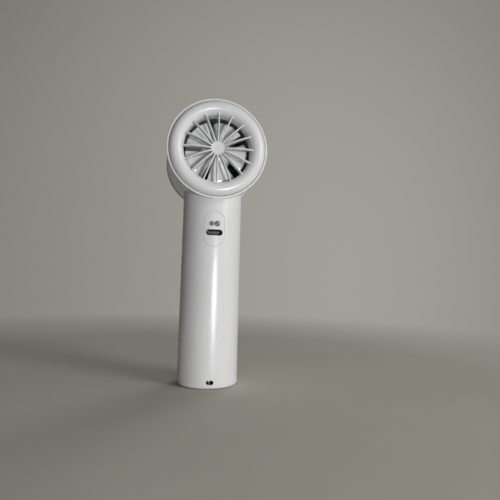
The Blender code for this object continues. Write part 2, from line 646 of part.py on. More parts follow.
def make_battery():
    """Lithium cell with its end tabs, held in a carrier that also holds the boards."""
    edge = 0.7
    profile = [(0, CELL_TOP), (CELL_RADIUS - edge, CELL_TOP), (CELL_RADIUS, CELL_TOP - edge),
               (CELL_RADIUS, CELL_BOTTOM + edge), (CELL_RADIUS - edge, CELL_BOTTOM), (0, CELL_BOTTOM)]
    turned("battery_cell", profile, Matrix(), WRAP, steps=36)
    box("battery_tab_bottom", (-3, -11.8, CELL_BOTTOM - 0.6), (3, 4, CELL_BOTTOM - GAP), mat=NICKEL)
    box("battery_tab_top", (-3, -11.8, CELL_TOP + GAP), (3, 4, CELL_TOP + 0.6), mat=NICKEL)

    lower = turned("battery_carrier", ring(0, CARRIER_RADIUS, CARRIER_BOTTOM, CARRIER_TOP), Matrix(), GREY,
                   steps=36)
    well = rod("cell_well", CELL_RADIUS + GAP, CARRIER_BOTTOM + PLATE, CARRIER_TOP - PLATE, sides=36)
    window = box("carrier_window", (-20, -20, CARRIER_BOTTOM + PLATE), (20, -4, CARRIER_TOP - PLATE))
    notch = box("lead_notch", (-8.5, -20, CARRIER_TOP - 4), (8.5, -10.9, CARRIER_TOP + 1))
    posts = []
    for side, name in ((-1, "left"), (1, "right")):
        ends = sorted((side * POST_INNER, side * BOARD_HALF))
        posts.append(box(f"post_{name}", (ends[0], MAIN_REAR + GAP, CARRIER_TOP - 0.5),
                         (ends[1], KEY_FRONT - GAP, BOARD_TOP)))
        posts.append(rod(f"boss_{name}", 2.6, CAP_PLATE + GAP, CARRIER_BOTTOM + 0.5,
                         at(side * BASE_SCREW_X), sides=20))
    join(lower, *posts)
    cut(lower, well, window, notch)
    for side, name in ((-1, "left"), (1, "right")):
        cut(lower, rod(f"boss_hole_{name}", 1.1, 0, CARRIER_BOTTOM + 0.9, at(side * BASE_SCREW_X), sides=12))
        for depth, board in ((MAIN_REAR, "main"), (KEY_FRONT, "key")):
            cut(lower, rod(f"post_hole_{board}_{name}", 0.9, -2.8, 2.8,
                           at(side * BOARD_SCREW_X, depth, BOARD_SCREW_Z, 90, "X"), sides=12))


def make_leads():
    """Battery leads up the carrier's open side, and the motor's two leads down into the handle."""
    board_end = [(3.7, -12.0, 83.4), (3.95, -11.0, 85.0), (3.95, MAIN_FRONT - GAP, 86.4)]
    top_start = [(1.0, -11.3, CELL_TOP + 1.3), (2.2, -11.6, CELL_TOP + 2.1)]
    bottom_start = [(1.0, -11.5, CELL_BOTTOM + 0.3), (1.0, -12.4, CELL_BOTTOM + 2),
                    (1.2, -12.8, CELL_BOTTOM + 7), (1.6, -12.9, 27), (2.0, -12.9, 45), (2.4, -12.9, 62),
                    (2.8, -12.7, 75), (3.2, -12.5, 80)]
    for name, side, start, mat in (("battery_lead_red", 2, top_start, RED),
                                   ("battery_lead_black", -2, bottom_start, BLACK)):
        wire(name, [(x * side, y, z) for x, y, z in start + board_end], 0.5, mat)
    for number, (x, mat) in enumerate(((-0.8, RED), (0.8, BLACK)), 1):
        head_route = [(5.2, -CUP_WEB_REAR + 0.2), (5.4, 11.0), (6.3, 14.0), (8.6, 15.9), (13.0, 15.9),
                      (17.5, 15.9), (21.0, 15.7), (23.0, 13.4), (26.0, 11.0), (30.0, 9.9), (33.5, 9.6)]
        points = [(x, depth, HEAD_Z - radius) for radius, depth in head_route]
        wire(f"motor_lead_{number}", points, 0.45, mat, steps=2)


clear_scene()
FAN = new_collection("handheld_fan")
CUTTERS = new_collection("cutters")
WHITE = material("white_abs", (0.83, 0.84, 0.85), 0.32)
GREY = material("grey_abs", (0.42, 0.43, 0.45), 0.45)
DARK = material("dark_abs", (0.06, 0.065, 0.07), 0.5)
BLACK = material("black_plastic", (0.03, 0.03, 0.04), 0.4)
RED = material("red_pvc", (0.6, 0.04, 0.03), 0.45)
CLEAR = material("clear_acrylic", (0.8, 0.8, 0.76), 0.1, transmission=0.8)
STEEL = material("steel", (0.6, 0.6, 0.6), 0.3, 1.0)
NICKEL = material("nickel", (0.66, 0.63, 0.58), 0.3, 1.0)
BRASS = material("brass", (0.7, 0.52, 0.25), 0.35, 1.0)
COPPER = material("copper", (0.72, 0.35, 0.18), 0.35, 1.0)
ALUMINIUM = material("aluminium", (0.75, 0.76, 0.77), 0.35, 1.0)
FERRITE = material("ferrite", (0.08, 0.08, 0.08), 0.6)
BOARD = material("green_board", (0.03, 0.2, 0.08), 0.5)
WRAP = material("battery_wrap", (0.05, 0.25, 0.55), 0.4)
RUBBER = material("black_rubber", (0.04, 0.04, 0.04), 0.8)

make_housing()
make_intake_cover()
make_outlet_cover()
make_port_panel()
make_base()
make_duct()
make_rotor()
make_motor()
make_port()
make_lights()
make_boards()
make_button()
make_battery()
make_leads()
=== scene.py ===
"""Looks of the handheld turbine fan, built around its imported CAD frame.

Lengths are millimetres unless a name says otherwise, and helpers turn them into metres.
Pieces of the head are made in the head's own frame: x right, y up, z out of the air intake.
"""
import json
import math

import bmesh
import bpy
from mathutils import Matrix, Vector


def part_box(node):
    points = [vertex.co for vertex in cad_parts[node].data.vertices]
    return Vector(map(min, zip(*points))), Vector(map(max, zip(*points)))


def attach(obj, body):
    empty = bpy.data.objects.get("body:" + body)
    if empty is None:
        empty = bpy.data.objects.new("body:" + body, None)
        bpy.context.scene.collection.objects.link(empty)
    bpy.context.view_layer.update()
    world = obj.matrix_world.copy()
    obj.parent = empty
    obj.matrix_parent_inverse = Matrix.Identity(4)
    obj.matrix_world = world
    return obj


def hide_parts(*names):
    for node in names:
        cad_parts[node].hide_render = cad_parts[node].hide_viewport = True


MM = 0.001
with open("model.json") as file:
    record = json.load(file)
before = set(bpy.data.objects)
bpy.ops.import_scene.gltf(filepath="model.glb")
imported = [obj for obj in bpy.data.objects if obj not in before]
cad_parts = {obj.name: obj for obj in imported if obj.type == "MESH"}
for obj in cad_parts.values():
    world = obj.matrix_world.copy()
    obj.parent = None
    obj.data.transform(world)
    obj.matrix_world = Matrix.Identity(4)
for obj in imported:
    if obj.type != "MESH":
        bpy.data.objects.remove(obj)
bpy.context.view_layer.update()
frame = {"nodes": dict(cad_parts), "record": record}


def extent(node):
    """Lowest and highest corner of a CAD node, in millimetres."""
    low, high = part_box(node)
    return [c / MM for c in low], [c / MM for c in high]


# ---------------------------------------------------------------- sizes, from the frame
HOUSING_HIGH = extent("main_housing")[1]
HEIGHT = HOUSING_HIGH[2]
LIP_RADIUS = HOUSING_HIGH[0]
LIP_FACE = HOUSING_HIGH[1]
HEAD_Z = HEIGHT - LIP_RADIUS
RING_OUTER = extent("intake_cover")[1][0]
REACH = -extent("intake_cover")[0][1]
CAP_RADIUS = extent("base_cap")[1][0]
CAP_TOP = extent("base_cap")[1][2]
PORT_LOW, PORT_HIGH = extent("port_shell")
PORT_Z = (PORT_LOW[2] + PORT_HIGH[2]) / 2
PANEL_LOW, PANEL_HIGH = extent("port_panel")
PANEL_Z = (PANEL_LOW[2] + PANEL_HIGH[2]) / 2
PANEL_WIDTH = PANEL_HIGH[0] - PANEL_LOW[0]
PANEL_HEIGHT = PANEL_HIGH[2] - PANEL_LOW[2]
BEZEL_LOW, BEZEL_HIGH = extent("button_bezel")
BEZEL_RADIUS = BEZEL_HIGH[0]
BUTTON_Z = (BEZEL_LOW[2] + BEZEL_HIGH[2]) / 2
BUTTON_FACE = BEZEL_HIGH[1]
DUCT_REAR = -extent("duct_stator")[1][1]
DUCT_FRONT = -extent("duct_stator")[0][1]

# ---------------------------------------------------------------- housing, as designed
SEAM = 0.10                    # gap that shows between two fitted mouldings
DRUM_RADIUS = 26.85
DRUM_BORE = 26.3
LIP_WIDTH = 1.1                # the drum's end lips, along its axis
LIP_STEP = 0.3
WEB_HALF = 1.0                 # the web across the drum, which carries the duct's flange
WEB_RADIUS = 20.6
HANDLE_RADIUS = 16.96          # at the base
HANDLE_TAPER = 0.0215          # share of the radius lost over 100 mm of height
HANDLE_TOP = 112.0             # inside the drum
BASE_FILLET = 1.5
BORE_RADIUS = 14.8
PANEL_INNER = 15.3
PORT_WIDTH = 9.2
PORT_HEIGHT = 3.3
LIGHT_Z = 88.8
LIGHTS = (("left", -1.6, 1.2), ("right", 1.4, 1.45))    # side, x, radius
CAP_WALL = 1.5
CAP_PLATE = 1.9
BASE_SCREW_X = 9.0
SLOT_Z = 3.5                   # the lanyard's slot in the handle's front
SLOT_WIDTH = 4.1
SLOT_HEIGHT = 2.4
DRILL_FROM = BORE_RADIUS - 4   # holes in the handle's wall start and end clear of it
DRILL_TO = HANDLE_RADIUS + 2

# ---------------------------------------------------------------- end rings, as designed
RING_GAP = 0.3                 # between the duct and the outlet ring's tube
NOSE_CENTRE = 22.3
NOSE_RADIUS = 4.0
NOSE_WALL = 1.4
SKIRT_END = 16.5
FIN_COUNT = 16
FIN_THICK = 0.72
FIN_DEPTH = 3.4
FIN_START = 2.2
FIN_END = 19.6
FIN_END_FACE = 21.9
HUB_RADIUS = 3.8
HUB_FACE = 21.5
HUB_DEPTH = 5.0
RIB_COUNT = 12
RIB_THICK = 0.95
RIB_DEPTH = 2.6

# ---------------------------------------------------------------- air path, as designed
DUCT_INNER = 18.6
DUCT_OUTER = 20.0
FLANGE_RADIUS = 25.6
FLANGE_FRONT = -1.3
FLANGE_REAR = -3.0
BOLT_CIRCLE = 23.2
BOLT_ANGLES = (45, 135, 225, 315)
MOTOR_RADIUS = 9.6             # outside of the motor's cup and of the impeller's hub
CUP_INNER = 8.6
CUP_FRONT = -3.4
CUP_REAR = -14.6
CUP_WEB_FRONT = -5.5
CUP_WEB_REAR = -7.5
MOTOR_HOLE = 2.8
MOTOR_SCREW_CIRCLE = 6.0
LEAD_SLOT_HEIGHT = -15.9
LEAD_RADIUS = 0.45
VANE_COUNT = 9
VANE_FRONT = -5.4
VANE_REAR = -13.2
VANE_WRAP = -32                # degrees turned from front to rear
VANE_THICK = 1.15
BLADE_COUNT = 5
BLADE_TIP = 17.1
BLADE_FRONT = 12.3
BLADE_REAR = -2.4
BLADE_WRAP = 60
BLADE_THICK = 1.1
BLADE_BOW = 17                 # degrees by which a blade bulges between its two edges
BLADE_CURVE = 4                # 1 for an even helix, more for a blade that dives at its tail
BLADE_ROOT = 3.4               # how far the front edge reaches in over the hub's dome
BLADE_ROOT_CURVE = 1.6
BLADE_PHASE = -4
HUB_NOSE = 14.4
HUB_SHOULDER = 2.0             # height where the dome starts
HUB_ROUND = 0.625              # 1 for an ellipse, less for a fuller dome
HUB_REAR = -3.0
HUB_FLOOR = 5.6
SHAFT_RADIUS = 1.3
SHAFT_TOP = 10.4

# ---------------------------------------------------------------- button and port, as designed
BEZEL_INNER = 4.8
BEZEL_BACK = 14.6
KEY_RADIUS = 4.5
KEY_BACK = 14.3
KEY_FLANGE = 5.3
KEY_FLANGE_BACK = 13.7
KEY_STEM = 1.5
KEY_STEM_BACK = 12.9
DISH_RADIUS = 4.0
DISH_DEPTH = 0.42
SOCKET_WALL = 0.3
CONTACT_COUNT = 12
CONTACT_PITCH = 0.5

# ---------------------------------------------------------------- screws in the base, as designed
SCREW_HEAD = 2.0
SCREW_HIGH = 0.6
SCREW_SHANK = 0.8
SCREW_LENGTH = 6.6
SCREW_THREAD = 0.12            # depth of the thread
SCREW_RISE = 0.25              # from a crest of the thread to the next hollow

# ---------------------------------------------------------------- camera
CAMERA_PLACE = (-23.84, -257.08, 60.41)
CAMERA_TURN = (93.448, -1.542, -10.406)
CAMERA_LENS = 32.07
CAMERA_SENSOR = 36.0

ROUND = 160                    # sides of a large turned piece
DRUM_ROUND = ROUND + 32
HEAD = Matrix.Translation((0, 0, HEAD_Z * MM)) @ Matrix.Rotation(math.radians(90), 4, "X")
OUTLET = Matrix.Translation((0, 0, HEAD_Z * MM)) @ Matrix.Rotation(math.radians(-90), 4, "X")
IDENTITY = Matrix()
WELD = 0.004 * MM              # points closer than this are one
SHARP_EDGE = 35                # degrees; edges sharper than this get rounded
ON_WALL = 0.02 * MM            # a point this close to a round wall is on it
SAME_WALL = 0.985              # cosine; a face turned further from the wall isn't part of it


# ---------------------------------------------------------------- mesh helpers

def at(x=0.0, y=0.0, z=0.0, turn=0.0, axis="Z"):
    """A placement in millimetres, turned by degrees about one axis."""
    return Matrix.Translation((x * MM, y * MM, z * MM)) @ Matrix.Rotation(math.radians(turn), 4, axis)


def polar(radius, angle):
    """The point at a radius and an angle in degrees."""
    turn = math.radians(angle)
    return radius * math.cos(turn), radius * math.sin(turn)


def circle(radius, sides):
    return [polar(radius, 360 * i / sides) for i in range(sides)]


def arc(centre, radius, start, end, steps):
    """Points of an arc; angles in degrees."""
    spots = (polar(radius, start + (end - start) * i / steps) for i in range(steps + 1))
    return [(centre[0] + dx, centre[1] + dy) for dx, dy in spots]


def stadium(width, height, steps=20):
    """Outline with half-round ends on its longer sides, around the origin."""
    radius = min(width, height) / 2
    if height > width:
        half = height / 2 - radius
        return arc((0, half), radius, 0, 180, steps) + arc((0, -half), radius, 180, 360, steps)
    half = width / 2 - radius
    return arc((half, 0), radius, -90, 90, steps) + arc((-half, 0), radius, 90, 270, steps)


def rounded(profile, radius, steps=5, closed=False):
    """The profile with each corner turned into an arc of that radius where there is room."""
    count = len(profile)
    result = []
    for i, corner in enumerate(profile):
        if not closed and i in (0, count - 1):
            result.append(corner)
            continue
        here = Vector(corner)
        before = Vector(profile[i - 1]) - here
        after = Vector(profile[(i + 1) % count]) - here
        bend = math.pi - before.angle(after)
        if bend < math.radians(12):
            result.append(corner)
            continue
        reach = min(radius * math.tan(bend / 2), before.length * 0.45, after.length * 0.45)
        start, end = here + before.normalized() * reach, here + after.normalized() * reach
        for k in range(steps + 1):
            t = k / steps
            point = start * (1 - t) ** 2 + here * 2 * t * (1 - t) + end * t ** 2
            result.append((point.x, point.y))
    return result


def apply_modifiers(obj):
    """Replace the object's mesh by its evaluated one."""
    graph = bpy.context.evaluated_depsgraph_get()
    mesh = bpy.data.meshes.new_from_object(obj.evaluated_get(graph))
    old = obj.data
    obj.modifiers.clear()
    obj.data = mesh
    if old.users == 0:
        bpy.data.meshes.remove(old)
    return obj


def add(name, mesh, place=IDENTITY):
    obj = bpy.data.objects.new(name, mesh)
    bpy.context.scene.collection.objects.link(obj)
    obj.matrix_world = place
    bpy.context.view_layer.update()
    return obj


def from_bmesh(name, bm, place=IDENTITY):
    mesh = bpy.data.meshes.new(name)
    bm.to_mesh(mesh)
    bm.free()
    return add(name, mesh, place)


def turned(name, profile, place=IDENTITY, steps=ROUND):
    """Turn a profile of (radius, height) points about the placement's Z axis.

    A profile whose two ends are on the axis stays open; any other is a closed loop.
    """
    area = sum(a[0] * b[1] - b[0] * a[1] for a, b in zip(profile, profile[1:] + profile[:1]))
    points = profile if area < 0 else profile[::-1]
    count = len(points)
    edges = [(i, i + 1) for i in range(count - 1)]
    if points[0][0] > 0 or points[-1][0] > 0:
        edges.append((count - 1, 0))
    mesh = bpy.data.meshes.new(name)
    mesh.from_pydata([(r * MM, 0, h * MM) for r, h in points], edges, [])
    obj = add(name, mesh, place)
    screw = obj.modifiers.new("turn", "SCREW")
    screw.axis = "Z"
    screw.steps = steps
    screw.render_steps = steps
    screw.use_merge_vertices = True
    screw.merge_threshold = 1e-6
    return apply_modifiers(obj)


def box(name, low, high, place=IDENTITY, bevel=0.0, segments=3):
    size = [(b - a) * MM for a, b in zip(low, high)]
    middle = [(a + b) / 2 * MM for a, b in zip(low, high)]
    bm = bmesh.new()
    bmesh.ops.create_cube(bm, size=1.0)
    bmesh.ops.scale(bm, vec=size, verts=bm.verts)
    bmesh.ops.translate(bm, vec=middle, verts=bm.verts)
    if bevel:
        bmesh.ops.bevel(bm, geom=bm.edges, offset=bevel * MM, segments=segments, profile=0.5,
                        affect="EDGES", clamp_overlap=True)
    return from_bmesh(name, bm, place)


def rod(name, radius, low, high, place=IDENTITY, sides=64, edge=0.0):
    """A cylinder along the placement's Z axis, with rounded ends where edge is given."""
    profile = [(0, high), (radius, high), (radius, low), (0, low)]
    return turned(name, rounded(profile, edge) if edge else profile, place, sides)


def plate(name, outlines, low, high, place=IDENTITY):
    """A flat outline, with further outlines as its holes, between two heights."""
    curve = bpy.data.curves.new(name + "_outline", "CURVE")
    curve.dimensions = "2D"
    curve.fill_mode = "BOTH"
    curve.extrude = (high - low) / 2 * MM
    for outline in outlines:
        spline = curve.splines.new("POLY")
        spline.points.add(len(outline) - 1)
        spline.use_cyclic_u = True
        for point, (x, y) in zip(spline.points, outline):
            point.co = (x * MM, y * MM, 0, 1)
    guide = bpy.data.objects.new(name + "_outline", curve)
    bpy.context.scene.collection.objects.link(guide)
    graph = bpy.context.evaluated_depsgraph_get()
    mesh = bpy.data.meshes.new_from_object(guide.evaluated_get(graph))
    bpy.data.objects.remove(guide, do_unlink=True)
    bm = bmesh.new()
    bm.from_mesh(mesh)
    bmesh.ops.remove_doubles(bm, verts=bm.verts, dist=1e-7)
    bmesh.ops.recalc_face_normals(bm, faces=bm.faces)
    bmesh.ops.translate(bm, vec=(0, 0, (low + high) / 2 * MM), verts=bm.verts)
    bpy.data.meshes.remove(mesh)
    return from_bmesh(name, bm, place)


def loft(name, sections, place=IDENTITY):
    """Skin over rings of points that all have the same count, with flat ends."""
    bm = bmesh.new()
    rings = [[bm.verts.new(Vector(p) * MM) for p in section] for section in sections]
    count = len(rings[0])
    for one, two in zip(rings, rings[1:]):
        for i in range(count):
            j = (i + 1) % count
            bm.faces.new((one[i], one[j], two[j], two[i]))
    bm.faces.new(rings[0])
    bm.faces.new(rings[-1])
    bmesh.ops.recalc_face_normals(bm, faces=bm.faces)
    return from_bmesh(name, bm, place)


def boolean(target, operation, others):
    """Combine the target with each of the others in turn; the others are removed."""
    for other in others:
        target.modifiers.new("flat_faces", "TRIANGULATE")
        step = target.modifiers.new(operation.lower(), "BOOLEAN")
        step.operation = operation
        step.object = other
        step.solver = "MANIFOLD"
        apply_modifiers(target)
        bpy.data.objects.remove(other, do_unlink=True)


def cut(target, *others):
    boolean(target, "DIFFERENCE", others)


def join(target, *others):
    boolean(target, "UNION", others)


def together(name, objects):
    """One object from several that don't touch each other."""
    bm = bmesh.new()
    for obj in objects:
        mesh = obj.data.copy()
        mesh.transform(obj.matrix_world)
        bm.from_mesh(mesh)
        bpy.data.meshes.remove(mesh)
        bpy.data.objects.remove(obj, do_unlink=True)
    return from_bmesh(name, bm)


def soften(obj, width, segments=3):
    """Tidy a joined mesh and round its sharp edges, unless the width is 0."""
    bm = bmesh.new()
    bm.from_mesh(obj.data)
    bmesh.ops.remove_doubles(bm, verts=bm.verts, dist=WELD)
    bmesh.ops.dissolve_degenerate(bm, edges=bm.edges, dist=WELD)
    if width:
        bm.normal_update()
        seams = [e for e in bm.edges if e.is_manifold and e.calc_face_angle() < math.radians(0.3)
                 and all(max(abs(f.normal.y), abs(f.normal.z)) < 0.999 for f in e.link_faces)]
        bmesh.ops.dissolve_limit(bm, angle_limit=math.radians(0.4), verts=[], edges=seams)
    bm.to_mesh(obj.data)
    bm.free()
    if width:
        rounding = obj.modifiers.new("edges", "BEVEL")
        rounding.width = width * MM
        rounding.segments = segments
        rounding.limit_method = "ANGLE"
        rounding.angle_limit = math.radians(SHARP_EDGE)
        rounding.miter_outer = "MITER_ARC"
        apply_modifiers(obj)


def true_normals(obj, *rules):
    """Give the loops of round walls their exact normals, so long cut faces shade evenly."""
    mesh = obj.data
    normals = [Vector(corner.vector) for corner in mesh.corner_normals]
    for face in mesh.polygons:
        for loop in face.loop_indices:
            spot = mesh.vertices[mesh.loops[loop].vertex_index].co
            for rule in rules:
                wish = rule(spot)
                if wish and wish.dot(face.normal) > SAME_WALL:
                    normals[loop] = wish
    mesh.normals_split_custom_set(normals)


def handle_normal(spot):
    """Outward direction at a point on the handle's tapered wall."""
    radius = math.hypot(spot.x, spot.y)
    if abs(radius - handle_radius(spot.z / MM) * MM) > ON_WALL:
        return None
    return Vector((spot.x, spot.y, radius * HANDLE_TAPER / 100 * HANDLE_RADIUS * MM)).normalized()


def drum_normal(spot):
    """Outward direction at a point on the drum's wall."""
    out = Vector((spot.x, 0, spot.z - HEAD_Z * MM))
    if abs(out.length - DRUM_RADIUS * MM) > ON_WALL:
        return None
    return out.normalized()


def finish_piece(obj, mat, body, slot, *nodes, sharp=38):
    """Shade the piece, give it its material and body, and let it stand for its CAD nodes."""
    obj.data.shade_smooth()
    obj.data.set_sharp_from_angle(angle=math.radians(sharp))
    obj.data.materials.clear()
    obj.data.materials.append(mat)
    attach(obj, body)
    if nodes:
        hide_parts(*nodes)


# ---------------------------------------------------------------- materials

class Nodes:
    """Short names for building one material's nodes."""

    def __init__(self, name):
        self.material = bpy.data.materials.new(name)
        self.material.use_nodes = True
        self.tree = self.material.node_tree
        self.shader = self.tree.nodes["Principled BSDF"]
        self.place = self.tree.nodes.new("ShaderNodeTexCoord").outputs["Object"]

    def add(self, kind, **values):
        node = self.tree.nodes.new("ShaderNode" + kind)
        for key, value in values.items():
            setattr(node, key, value)
        return node

    def link(self, source, target):
        self.tree.links.new(source, target)

    def noise(self, scale, detail=2.0, roughness=0.5, distortion=0.0, stretch=None):
        """Noise in the object's own space; scale is per metre."""
        node = self.add("TexNoise")
        for key, number in (("Scale", scale), ("Detail", detail),
                            ("Roughness", roughness), ("Distortion", distortion)):
            node.inputs[key].default_value = number
        place = self.place
        if stretch:
            mapping = self.add("Mapping")
            mapping.inputs["Scale"].default_value = stretch
            self.link(place, mapping.inputs["Vector"])
            place = mapping.outputs["Vector"]
        self.link(place, node.inputs["Vector"])
        return node.outputs["Fac"]

    def span(self, value, low_in, high_in, low_out, high_out):
        """The value's range turned into another, held at both ends."""
        node = self.add("MapRange")
        self.link(value, node.inputs["Value"])
        for key, number in (("From Min", low_in), ("From Max", high_in),
                            ("To Min", low_out), ("To Max", high_out)):
            node.inputs[key].default_value = number
        return node.outputs["Result"]

    def mix(self, factor, one, two):
        """Blend of two colours; each is a colour or a socket."""
        node = self.add("Mix", data_type="RGBA")
        self.link(factor, node.inputs[0])
        for socket, colour in ((node.inputs[6], one), (node.inputs[7], two)):
            if hasattr(colour, "is_output"):
                self.link(colour, socket)
            else:
                socket.default_value = (*colour, 1.0)
        return node.outputs[2]

    def math(self, operation, one, two):
        """Result of a sum or product; each input is a number or a socket."""
        node = self.add("Math", operation=operation)
        for socket, value in zip(node.inputs, (one, two)):
            if hasattr(value, "is_output"):
                self.link(value, socket)
            else:
                socket.default_value = value
        return node.outputs[0]

    def bump(self, height, strength, distance):
        node = self.add("Bump")
        node.inputs["Strength"].default_value = strength
        node.inputs["Distance"].default_value = distance
        self.link(height, node.inputs["Height"])
        self.link(node.outputs["Normal"], self.shader.inputs["Normal"])

    def set(self, **values):
        for key, value in values.items():
            self.shader.inputs[key.replace("_", " ")].default_value = value


def moulded_plastic(name, colour, shade, rough=(0.3, 0.42), grain=0.000012, coat=0.0, spots=True):
    """Moulded plastic: faint flow and colour variation, painted shade in crevices, fine grain, soft streaky
    scuffs in the roughness.
    """
    n = Nodes(name)
    flow = n.noise(38, 4, 0.55, 0.4)
    tone = n.mix(n.span(flow, 0.35, 0.65, 0, 1), colour, shade)
    # Painted shade: ambient occlusion darkens the colour in crevices and hollows, mottled by fine noise.
    crevice_occlusion = n.add("AmbientOcclusion", samples=4)
    crevice_occlusion.inputs["Distance"].default_value = 0.0008
    crevice_shade = n.math("MULTIPLY", n.span(crevice_occlusion.outputs["AO"], 0.25, 0.7, 0.4, 0.0), n.noise(700, 3))
    tone = n.mix(crevice_shade, tone, tuple(c * 0.55 for c in shade))
    if spots:
        dust = n.noise(2600, 1, 0.4)
        tone = n.mix(n.span(dust, 0.735, 0.80, 0, 0.35), tone, tuple(c * 0.45 for c in shade))
    n.link(tone, n.shader.inputs["Base Color"])
    smear = n.noise(90, 5, 0.6, 0.6, (1.0, 1.0, 0.45))
    scuff = n.noise(900, 3, 0.7, 1.6, (1.0, 1.0, 0.12))
    value = n.math("ADD", n.span(smear, 0.3, 0.7, *rough), n.span(scuff, 0.60, 0.72, 0.0, 0.09))
    n.link(value, n.shader.inputs["Roughness"])
    n.bump(n.math("ADD", n.noise(4200, 2, 0.55), n.span(n.noise(60, 2), 0, 1, 0, 1)), 0.35, grain)
    n.set(IOR=1.5, Coat_Weight=coat, Coat_Roughness=0.12)
    return n.material


def metal(name, colour):
    """Metal with fine machining lines, stains and a little colour variation."""
    n = Nodes(name)
    stain = n.noise(160, 4, 0.6)
    n.link(n.mix(n.span(stain, 0.3, 0.7, 0, 1), colour, tuple(c * 0.8 for c in colour)),
           n.shader.inputs["Base Color"])
    lines = n.noise(2400, 3, 0.6, 0.0, (1.0, 1.0, 0.04))
    n.link(n.span(lines, 0.3, 0.7, 0.22, 0.38), n.shader.inputs["Roughness"])
    n.bump(lines, 0.4, 0.000004)
    n.set(Metallic=1.0)
    return n.material


def soft_skin(name, colour, rough=(0.5, 0.65), scale=1800, grain=0.00002):
    """Rubber, PVC or wrap: matt, with a pebbled surface and paler scuffs."""
    n = Nodes(name)
    pale = tuple(min(1.0, c * 1.5 + 0.02) for c in colour)
    n.link(n.mix(n.span(n.noise(300, 4, 0.6, 0.5), 0.5, 0.75, 0, 0.5), colour, pale),
           n.shader.inputs["Base Color"])
    n.link(n.span(n.noise(240, 3), 0.3, 0.7, *rough), n.shader.inputs["Roughness"])
    n.bump(n.noise(scale, 2, 0.5), 0.4, grain)
    return n.material


def clear_acrylic(name):
    """Clear light pipe, slightly yellowed, with fine flow lines inside."""
    n = Nodes(name)
    n.link(n.mix(n.span(n.noise(700, 2), 0.4, 0.6, 0, 1), (0.86, 0.86, 0.80), (0.80, 0.80, 0.72)),
           n.shader.inputs["Base Color"])
    n.link(n.span(n.noise(500, 3), 0.3, 0.7, 0.05, 0.14), n.shader.inputs["Roughness"])
    n.bump(n.noise(1500, 2), 0.2, 0.00001)
    n.set(IOR=1.49, Transmission_Weight=0.75)
    return n.material


def copper_wire(name):
    """Enamelled wire: turns side by side."""
    n = Nodes(name)
    wave = n.add("TexWave", wave_type="BANDS", bands_direction="DIAGONAL")
    wave.inputs["Scale"].default_value = 1100
    wave.inputs["Distortion"].default_value = 0.4
    n.link(n.place, wave.inputs["Vector"])
    turns = wave.outputs["Fac"]
    n.link(n.mix(turns, (0.35, 0.12, 0.05), (0.78, 0.36, 0.17)), n.shader.inputs["Base Color"])
    n.link(n.span(turns, 0, 1, 0.5, 0.25), n.shader.inputs["Roughness"])
    n.bump(turns, 0.8, 0.00008)
    n.set(Metallic=0.9)
    return n.material


def circuit_board(name):
    """Solder mask over copper tracks."""
    n = Nodes(name)
    tracks = n.add("TexBrick")
    tracks.inputs["Scale"].default_value = 420
    tracks.inputs["Mortar Size"].default_value = 0.03
    tracks.inputs["Color1"].default_value = (0.02, 0.16, 0.07, 1)
    tracks.inputs["Color2"].default_value = (0.02, 0.20, 0.08, 1)
    tracks.inputs["Mortar"].default_value = (0.05, 0.32, 0.12, 1)
    n.link(n.place, tracks.inputs["Vector"])
    n.link(n.mix(n.span(n.noise(900, 2), 0.45, 0.6, 0, 0.4), tracks.outputs["Color"], (0.01, 0.10, 0.04)),
           n.shader.inputs["Base Color"])
    n.link(n.span(n.noise(400, 3), 0.3, 0.7, 0.3, 0.5), n.shader.inputs["Roughness"])
    n.bump(tracks.outputs["Fac"], 0.3, 0.00003)
    return n.material


def make_materials():
    white, shade = (0.81, 0.815, 0.83), (0.78, 0.785, 0.80)
    return {
        "housing_white": moulded_plastic("housing_white", white, shade, (0.20, 0.30)),
        # The impeller's white is painted light: it is paler than the housing's to brighten blades that lie
        # in the guard's shade.
        "impeller_white": moulded_plastic("impeller_white", (0.90, 0.905, 0.915), (0.86, 0.865, 0.875),
                                          (0.10, 0.18), 0.000008, 0.4, False),
        "button_white": moulded_plastic("button_white", white, shade, (0.26, 0.36)),
        "trim_grey": moulded_plastic("trim_grey", (0.40, 0.41, 0.43), (0.36, 0.37, 0.39), (0.3, 0.42)),
        "duct_dark": moulded_plastic("duct_dark", (0.17, 0.175, 0.185), (0.14, 0.145, 0.155), (0.36, 0.5)),
        "carrier_grey": moulded_plastic("carrier_grey", (0.3, 0.31, 0.33), (0.26, 0.27, 0.29), (0.45, 0.6)),
        "port_black": moulded_plastic("port_black", (0.16, 0.165, 0.19), (0.12, 0.125, 0.15), (0.4, 0.5)),
        "black_plastic": moulded_plastic("black_plastic", (0.03, 0.03, 0.035), (0.02, 0.02, 0.025),
                                         (0.35, 0.5)),
        "lead_red": soft_skin("lead_red", (0.55, 0.03, 0.03)),
        "lead_black": soft_skin("lead_black", (0.02, 0.02, 0.02)),
        "light_clear": clear_acrylic("light_clear"),
        "port_steel": metal("port_steel", (0.11, 0.12, 0.17)),
        "screw_steel": metal("screw_steel", (0.62, 0.61, 0.59)),
        "motor_steel": metal("motor_steel", (0.58, 0.58, 0.6)),
        "magnet_ferrite": soft_skin("magnet_ferrite", (0.07, 0.07, 0.075), (0.4, 0.55), 2600),
        "motor_brass": metal("motor_brass", (0.72, 0.53, 0.26)),
        "coil_copper": copper_wire("coil_copper"),
        "board_green": circuit_board("board_green"),
        "capacitor_aluminium": metal("capacitor_aluminium", (0.75, 0.76, 0.77)),
        "tab_nickel": metal("tab_nickel", (0.66, 0.63, 0.58)),
        "cell_wrap": soft_skin("cell_wrap", (0.04, 0.22, 0.5), (0.28, 0.4), 500, 0.00001),
        "seal_rubber": soft_skin("seal_rubber", (0.035, 0.035, 0.035)),
    }


# ---------------------------------------------------------------- housing and covers

def handle_radius(height):
    return HANDLE_RADIUS * (1 - HANDLE_TAPER * height / 100)


